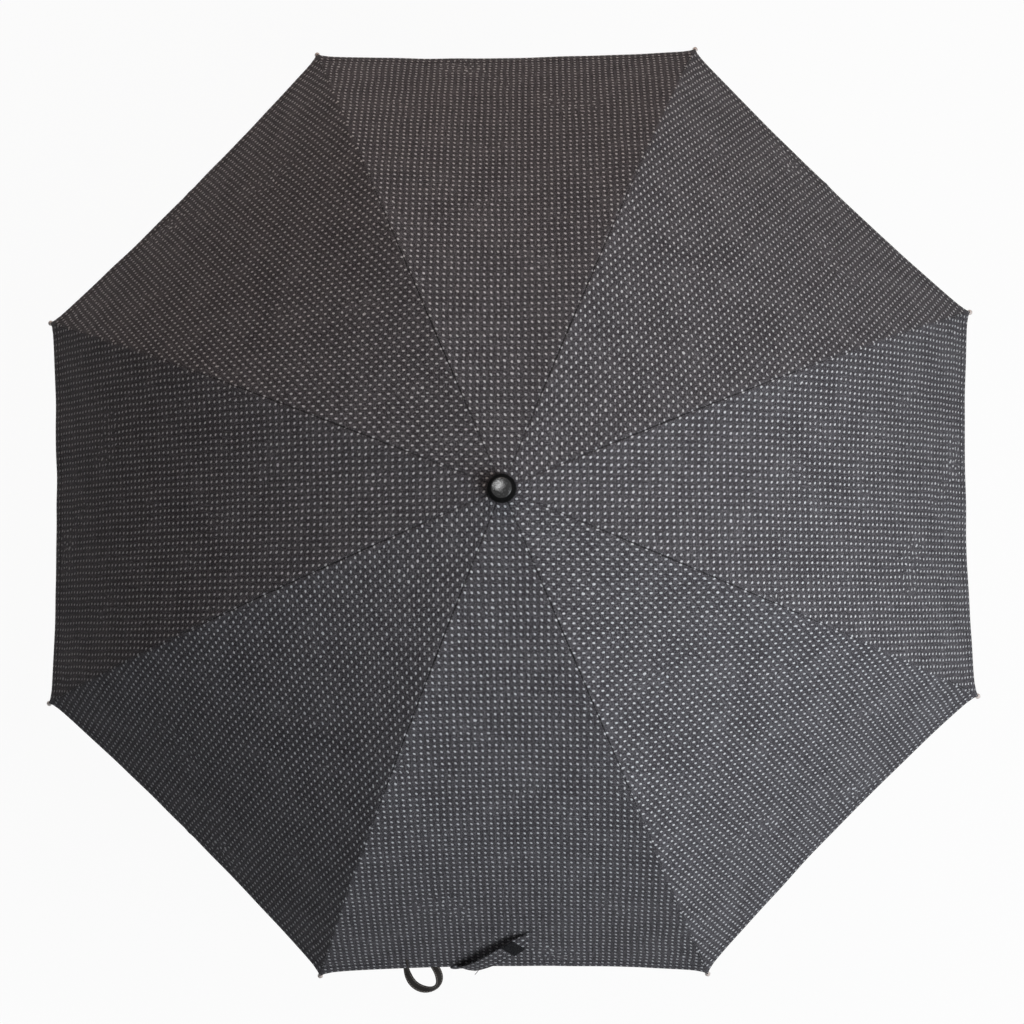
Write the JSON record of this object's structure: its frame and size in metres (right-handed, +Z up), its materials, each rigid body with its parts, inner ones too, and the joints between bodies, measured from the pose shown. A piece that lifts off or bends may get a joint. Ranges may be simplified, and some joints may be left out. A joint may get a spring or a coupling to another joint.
{
  "type": "rain umbrella",
  "caption": "Open rain umbrella with a dotted fabric canopy on hinged ribs, a sliding runner, a straight steel shaft and a crook handle.",
  "frame": {"origin": "on the shaft's axis at the middle of the grip", "axes": "+Z up the shaft to the canopy's apex, -Y towards the gore with the tie strap, +X the way the crook turns"},
  "size_m": [0.9064, 0.9144, 0.7558],
  "materials": {
    "cloth": "charcoal woven pongee with pale pin dots",
    "steel": "plated, satin",
    "rod": "black glass-fibre rod",
    "tip": "pale beige",
    "black_plastic": "moulded",
    "gloss_black": "polished",
    "grip": "satin black",
    "hook_tape": "hook tape",
    "ribbon": "woven ribbon with stitched edges"
  },
  "bodies": {
    "frame": {"shaft": "steel", "crown": "black_plastic", "cap_washer": "black_plastic", "top_cap": "gloss_black", "handle": "grip", "handle_collar": "steel"},
    "runner_body": {"runner": "black_plastic"},
    "top_catch_body": {"top_catch": "steel"},
    "bottom_catch_body": {"bottom_catch": "steel"},
    "rib_1": {"rib_inner_1": "steel"},
    "rib_1_outer": {"rib_outer_1": "rod", "rib_tip_1": "tip"},
    "stretcher_1_body": {"stretcher_1": "steel"},
    "gore_1_left": {"half_gore_1_left": "cloth"},
    "gore_1_right": {"half_gore_1_right": "cloth"},
    "rib_2": {"rib_inner_2": "steel"},
    "rib_2_outer": {"rib_outer_2": "rod", "rib_tip_2": "tip"},
    "stretcher_2_body": {"stretcher_2": "steel"},
    "gore_2_left": {"half_gore_2_left": "cloth"},
    "gore_2_right": {"half_gore_2_right": "cloth"},
    "rib_3": {"rib_inner_3": "steel"},
    "rib_3_outer": {"rib_outer_3": "rod", "rib_tip_3": "tip"},
    "stretcher_3_body": {"stretcher_3": "steel"},
    "gore_3_left": {"half_gore_3_left": "cloth"},
    "gore_3_right": {"half_gore_3_right": "cloth"},
    "rib_4": {"rib_inner_4": "steel"},
    "rib_4_outer": {"rib_outer_4": "rod", "rib_tip_4": "tip"},
    "stretcher_4_body": {"stretcher_4": "steel"},
    "gore_4_left": {"half_gore_4_left": "cloth"},
    "gore_4_right": {"half_gore_4_right": "cloth"},
    "rib_5": {"rib_inner_5": "steel"},
    "rib_5_outer": {"rib_outer_5": "rod", "rib_tip_5": "tip"},
    "stretcher_5_body": {"stretcher_5": "steel"},
    "gore_5_left": {"half_gore_5_left": "cloth"},
    "gore_5_right": {"half_gore_5_right": "cloth"},
    "rib_6": {"rib_inner_6": "steel"},
    "rib_6_outer": {"rib_outer_6": "rod", "rib_tip_6": "tip"},
    "stretcher_6_body": {"stretcher_6": "steel"},
    "gore_6_left": {"half_gore_6_left": "cloth", "tie_strap": "cloth", "strap_patch": "hook_tape", "hem_loop": "ribbon"},
    "gore_6_right": {"half_gore_6_right": "cloth"},
    "rib_7": {"rib_inner_7": "steel"},
    "rib_7_outer": {"rib_outer_7": "rod", "rib_tip_7": "tip"},
    "stretcher_7_body": {"stretcher_7": "steel"},
    "gore_7_left": {"half_gore_7_left": "cloth"},
    "gore_7_right": {"half_gore_7_right": "cloth"},
    "rib_8": {"rib_inner_8": "steel"},
    "rib_8_outer": {"rib_outer_8": "rod", "rib_tip_8": "tip"},
    "stretcher_8_body": {"stretcher_8": "steel"},
    "gore_8_left": {"half_gore_8_left": "cloth"},
    "gore_8_right": {"half_gore_8_right": "cloth"}
  },
  "joints": [
    {"name": "runner_slide", "type": "slide", "parent": "frame", "child": "runner_body", "axis": [0, 0, -1], "range_m": [0, 0.33193]},
    {"name": "rib_1_hinge", "type": "hinge", "parent": "frame", "child": "rib_1", "pos_m": [-0.0039, 0.00941, 0.65206], "axis": [-0.9239, -0.3827, 0], "range_deg": [0, 70.7]},
    {"name": "rib_1_flex", "type": "hinge", "parent": "rib_1", "child": "rib_1_outer", "pos_m": [-0.09324, 0.22511, 0.58243], "axis": [-0.9239, -0.3827, 0], "range_deg": [-23.8, 0]},
    {"name": "stretcher_1_hinge", "type": "hinge", "parent": "rib_1", "child": "stretcher_1_body", "pos_m": [-0.09031, 0.21802, 0.58164], "axis": [-0.9239, -0.3827, 0], "range_deg": [-141.38, 0]},
    {"name": "gore_1_left_fold", "type": "hinge", "parent": "rib_1_outer", "child": "gore_1_left", "pos_m": [-0.18504, 0.44673, 0.37836], "axis": [-0.4424, 0.6919, -0.5706], "range_deg": [0, 64.37], "deforming": ["half_gore_1_left"]},
    {"name": "gore_1_right_fold", "type": "hinge", "parent": "rib_1_outer", "child": "gore_1_right", "pos_m": [-0.18504, 0.44673, 0.37836], "axis": [0.1764, -0.8021, 0.5706], "range_deg": [0, 64.37], "deforming": ["half_gore_1_right"]},
    {"name": "rib_2_hinge", "type": "hinge", "parent": "frame", "child": "rib_2", "pos_m": [0.0039, 0.00941, 0.65206], "axis": [-0.9239, 0.3827, 0], "range_deg": [0, 70.7]},
    {"name": "rib_2_flex", "type": "hinge", "parent": "rib_2", "child": "rib_2_outer", "pos_m": [0.09324, 0.22511, 0.58243], "axis": [-0.9239, 0.3827, 0], "range_deg": [-23.8, 0]},
    {"name": "stretcher_2_hinge", "type": "hinge", "parent": "rib_2", "child": "stretcher_2_body", "pos_m": [0.09031, 0.21802, 0.58164], "axis": [-0.9239, 0.3827, 0], "range_deg": [-141.38, 0]},
    {"name": "gore_2_left_fold", "type": "hinge", "parent": "rib_2_outer", "child": "gore_2_left", "pos_m": [0.18504, 0.44673, 0.37836], "axis": [0.1764, 0.8021, -0.5706], "range_deg": [0, 64.37], "deforming": ["half_gore_2_left"]},
    {"name": "gore_2_right_fold", "type": "hinge", "parent": "rib_2_outer", "child": "gore_2_right", "pos_m": [0.18504, 0.44673, 0.37836], "axis": [-0.4424, -0.6919, 0.5706], "range_deg": [0, 64.37], "deforming": ["half_gore_2_right"]},
    {"name": "rib_3_hinge", "type": "hinge", "parent": "frame", "child": "rib_3", "pos_m": [0.00941, 0.0039, 0.65206], "axis": [-0.3827, 0.9239, 0], "range_deg": [0, 70.7]},
    {"name": "rib_3_flex", "type": "hinge", "parent": "rib_3", "child": "rib_3_outer", "pos_m": [0.22511, 0.09324, 0.58243], "axis": [-0.3827, 0.9239, 0], "range_deg": [-23.8, 0]},
    {"name": "stretcher_3_hinge", "type": "hinge", "parent": "rib_3", "child": "stretcher_3_body", "pos_m": [0.21802, 0.09031, 0.58164], "axis": [-0.3827, 0.9239, 0], "range_deg": [-141.38, 0]},
    {"name": "gore_3_left_fold", "type": "hinge", "parent": "rib_3_outer", "child": "gore_3_left", "pos_m": [0.44673, 0.18504, 0.37836], "axis": [0.6919, 0.4424, -0.5706], "range_deg": [0, 64.37], "deforming": ["half_gore_3_left"]},
    {"name": "gore_3_right_fold", "type": "hinge", "parent": "rib_3_outer", "child": "gore_3_right", "pos_m": [0.44673, 0.18504, 0.37836], "axis": [-0.8021, -0.1764, 0.5706], "range_deg": [0, 64.37], "deforming": ["half_gore_3_right"]},
    {"name": "rib_4_hinge", "type": "hinge", "parent": "frame", "child": "rib_4", "pos_m": [0.00941, -0.0039, 0.65206], "axis": [0.3827, 0.9239, 0], "range_deg": [0, 70.7]},
    {"name": "rib_4_flex", "type": "hinge", "parent": "rib_4", "child": "rib_4_outer", "pos_m": [0.22511, -0.09324, 0.58243], "axis": [0.3827, 0.9239, 0], "range_deg": [-23.8, 0]},
    {"name": "stretcher_4_hinge", "type": "hinge", "parent": "rib_4", "child": "stretcher_4_body", "pos_m": [0.21802, -0.09031, 0.58164], "axis": [0.3827, 0.9239, 0], "range_deg": [-141.38, 0]},
    {"name": "gore_4_left_fold", "type": "hinge", "parent": "rib_4_outer", "child": "gore_4_left", "pos_m": [0.44673, -0.18504, 0.37836], "axis": [0.8021, -0.1764, -0.5706], "range_deg": [0, 64.37], "deforming": ["half_gore_4_left"]},
    {"name": "gore_4_right_fold", "type": "hinge", "parent": "rib_4_outer", "child": "gore_4_right", "pos_m": [0.44673, -0.18504, 0.37836], "axis": [-0.6919, 0.4424, 0.5706], "range_deg": [0, 64.37], "deforming": ["half_gore_4_right"]},
    {"name": "rib_5_hinge", "type": "hinge", "parent": "frame", "child": "rib_5", "pos_m": [0.0039, -0.00941, 0.65206], "axis": [0.9239, 0.3827, 0], "range_deg": [0, 70.7]},
    {"name": "rib_5_flex", "type": "hinge", "parent": "rib_5", "child": "rib_5_outer", "pos_m": [0.09324, -0.22511, 0.58243], "axis": [0.9239, 0.3827, 0], "range_deg": [-23.8, 0]},
    {"name": "stretcher_5_hinge", "type": "hinge", "parent": "rib_5", "child": "stretcher_5_body", "pos_m": [0.09031, -0.21802, 0.58164], "axis": [0.9239, 0.3827, 0], "range_deg": [-141.38, 0]},
    {"name": "gore_5_left_fold", "type": "hinge", "parent": "rib_5_outer", "child": "gore_5_left", "pos_m": [0.18504, -0.44673, 0.37836], "axis": [0.4424, -0.6919, -0.5706], "range_deg": [0, 64.37], "deforming": ["half_gore_5_left"]},
    {"name": "gore_5_right_fold", "type": "hinge", "parent": "rib_5_outer", "child": "gore_5_right", "pos_m": [0.18504, -0.44673, 0.37836], "axis": [-0.1764, 0.8021, 0.5706], "range_deg": [0, 64.37], "deforming": ["half_gore_5_right"]},
    {"name": "rib_6_hinge", "type": "hinge", "parent": "frame", "child": "rib_6", "pos_m": [-0.0039, -0.00941, 0.65206], "axis": [0.9239, -0.3827, 0], "range_deg": [0, 70.7]},
    {"name": "rib_6_flex", "type": "hinge", "parent": "rib_6", "child": "rib_6_outer", "pos_m": [-0.09324, -0.22511, 0.58243], "axis": [0.9239, -0.3827, 0], "range_deg": [-23.8, 0]},
    {"name": "stretcher_6_hinge", "type": "hinge", "parent": "rib_6", "child": "stretcher_6_body", "pos_m": [-0.09031, -0.21802, 0.58164], "axis": [0.9239, -0.3827, 0], "range_deg": [-141.38, 0]},
    {"name": "gore_6_left_fold", "type": "hinge", "parent": "rib_6_outer", "child": "gore_6_left", "pos_m": [-0.18504, -0.44673, 0.37836], "axis": [-0.1764, -0.8021, -0.5706], "range_deg": [0, 64.37], "deforming": ["half_gore_6_left"]},
    {"name": "gore_6_right_fold", "type": "hinge", "parent": "rib_6_outer", "child": "gore_6_right", "pos_m": [-0.18504, -0.44673, 0.37836], "axis": [0.4424, 0.6919, 0.5706], "range_deg": [0, 64.37], "deforming": ["half_gore_6_right"]},
    {"name": "rib_7_hinge", "type": "hinge", "parent": "frame", "child": "rib_7", "pos_m": [-0.00941, -0.0039, 0.65206], "axis": [0.3827, -0.9239, 0], "range_deg": [0, 70.7]},
    {"name": "rib_7_flex", "type": "hinge", "parent": "rib_7", "child": "rib_7_outer", "pos_m": [-0.22511, -0.09324, 0.58243], "axis": [0.3827, -0.9239, 0], "range_deg": [-23.8, 0]},
    {"name": "stretcher_7_hinge", "type": "hinge", "parent": "rib_7", "child": "stretcher_7_body", "pos_m": [-0.21802, -0.09031, 0.58164], "axis": [0.3827, -0.9239, 0], "range_deg": [-141.38, 0]},
    {"name": "gore_7_left_fold", "type": "hinge", "parent": "rib_7_outer", "child": "gore_7_left", "pos_m": [-0.44673, -0.18504, 0.37836], "axis": [-0.6919, -0.4424, -0.5706], "range_deg": [0, 64.37], "deforming": ["half_gore_7_left"]},
    {"name": "gore_7_right_fold", "type": "hinge", "parent": "rib_7_outer", "child": "gore_7_right", "pos_m": [-0.44673, -0.18504, 0.37836], "axis": [0.8021, 0.1764, 0.5706], "range_deg": [0, 64.37], "deforming": ["half_gore_7_right"]},
    {"name": "rib_8_hinge", "type": "hinge", "parent": "frame", "child": "rib_8", "pos_m": [-0.00941, 0.0039, 0.65206], "axis": [-0.3827, -0.9239, 0], "range_deg": [0, 70.7]},
    {"name": "rib_8_flex", "type": "hinge", "parent": "rib_8", "child": "rib_8_outer", "pos_m": [-0.22511, 0.09324, 0.58243], "axis": [-0.3827, -0.9239, 0], "range_deg": [-23.8, 0]},
    {"name": "stretcher_8_hinge", "type": "hinge", "parent": "rib_8", "child": "stretcher_8_body", "pos_m": [-0.21802, 0.09031, 0.58164], "axis": [-0.3827, -0.9239, 0], "range_deg": [-141.38, 0]},
    {"name": "gore_8_left_fold", "type": "hinge", "parent": "rib_8_outer", "child": "gore_8_left", "pos_m": [-0.44673, 0.18504, 0.37836], "axis": [-0.8021, 0.1764, -0.5706], "range_deg": [0, 64.37], "deforming": ["half_gore_8_left"]},
    {"name": "gore_8_right_fold", "type": "hinge", "parent": "rib_8_outer", "child": "gore_8_right", "pos_m": [-0.44673, 0.18504, 0.37836], "axis": [0.6919, -0.4424, 0.5706], "range_deg": [0, 64.37], "deforming": ["half_gore_8_right"]},
    {"name": "top_catch_press", "type": "hinge", "parent": "frame", "child": "top_catch_body", "pos_m": [0, 0, 0.43693], "axis": [0, 1, 0], "range_deg": [-7, 0], "stiffness_Nm_per_rad": 0.3, "deforming": ["top_catch"]},
    {"name": "bottom_catch_press", "type": "hinge", "parent": "frame", "child": "bottom_catch_body", "pos_m": [0, 0, 0.1696], "axis": [0, 1, 0], "range_deg": [0, 7], "stiffness_Nm_per_rad": 0.3, "deforming": ["bottom_catch"]}
  ],
  "couplings": [
    {"joint": "rib_1_hinge", "follows": "runner_slide", "rad_per_m": 3.7165},
    {"joint": "rib_1_flex", "follows": "runner_slide", "rad_per_m": -1.2505},
    {"joint": "stretcher_1_hinge", "follows": "runner_slide", "rad_per_m": -7.433},
    {"joint": "gore_1_left_fold", "follows": "runner_slide", "rad_per_m": 3.3836},
    {"joint": "gore_1_right_fold", "follows": "runner_slide", "rad_per_m": 3.3836},
    {"joint": "rib_2_hinge", "follows": "runner_slide", "rad_per_m": 3.7165},
    {"joint": "rib_2_flex", "follows": "runner_slide", "rad_per_m": -1.2505},
    {"joint": "stretcher_2_hinge", "follows": "runner_slide", "rad_per_m": -7.433},
    {"joint": "gore_2_left_fold", "follows": "runner_slide", "rad_per_m": 3.3836},
    {"joint": "gore_2_right_fold", "follows": "runner_slide", "rad_per_m": 3.3836},
    {"joint": "rib_3_hinge", "follows": "runner_slide", "rad_per_m": 3.7165},
    {"joint": "rib_3_flex", "follows": "runner_slide", "rad_per_m": -1.2505},
    {"joint": "stretcher_3_hinge", "follows": "runner_slide", "rad_per_m": -7.433},
    {"joint": "gore_3_left_fold", "follows": "runner_slide", "rad_per_m": 3.3836},
    {"joint": "gore_3_right_fold", "follows": "runner_slide", "rad_per_m": 3.3836},
    {"joint": "rib_4_hinge", "follows": "runner_slide", "rad_per_m": 3.7165},
    {"joint": "rib_4_flex", "follows": "runner_slide", "rad_per_m": -1.2505},
    {"joint": "stretcher_4_hinge", "follows": "runner_slide", "rad_per_m": -7.433},
    {"joint": "gore_4_left_fold", "follows": "runner_slide", "rad_per_m": 3.3836},
    {"joint": "gore_4_right_fold", "follows": "runner_slide", "rad_per_m": 3.3836},
    {"joint": "rib_5_hinge", "follows": "runner_slide", "rad_per_m": 3.7165},
    {"joint": "rib_5_flex", "follows": "runner_slide", "rad_per_m": -1.2505},
    {"joint": "stretcher_5_hinge", "follows": "runner_slide", "rad_per_m": -7.433},
    {"joint": "gore_5_left_fold", "follows": "runner_slide", "rad_per_m": 3.3836},
    {"joint": "gore_5_right_fold", "follows": "runner_slide", "rad_per_m": 3.3836},
    {"joint": "rib_6_hinge", "follows": "runner_slide", "rad_per_m": 3.7165},
    {"joint": "rib_6_flex", "follows": "runner_slide", "rad_per_m": -1.2505},
    {"joint": "stretcher_6_hinge", "follows": "runner_slide", "rad_per_m": -7.433},
    {"joint": "gore_6_left_fold", "follows": "runner_slide", "rad_per_m": 3.3836},
    {"joint": "gore_6_right_fold", "follows": "runner_slide", "rad_per_m": 3.3836},
    {"joint": "rib_7_hinge", "follows": "runner_slide", "rad_per_m": 3.7165},
    {"joint": "rib_7_flex", "follows": "runner_slide", "rad_per_m": -1.2505},
    {"joint": "stretcher_7_hinge", "follows": "runner_slide", "rad_per_m": -7.433},
    {"joint": "gore_7_left_fold", "follows": "runner_slide", "rad_per_m": 3.3836},
    {"joint": "gore_7_right_fold", "follows": "runner_slide", "rad_per_m": 3.3836},
    {"joint": "rib_8_hinge", "follows": "runner_slide", "rad_per_m": 3.7165},
    {"joint": "rib_8_flex", "follows": "runner_slide", "rad_per_m": -1.2505},
    {"joint": "stretcher_8_hinge", "follows": "runner_slide", "rad_per_m": -7.433},
    {"joint": "gore_8_left_fold", "follows": "runner_slide", "rad_per_m": 3.3836},
    {"joint": "gore_8_right_fold", "follows": "runner_slide", "rad_per_m": 3.3836}
  ]
}
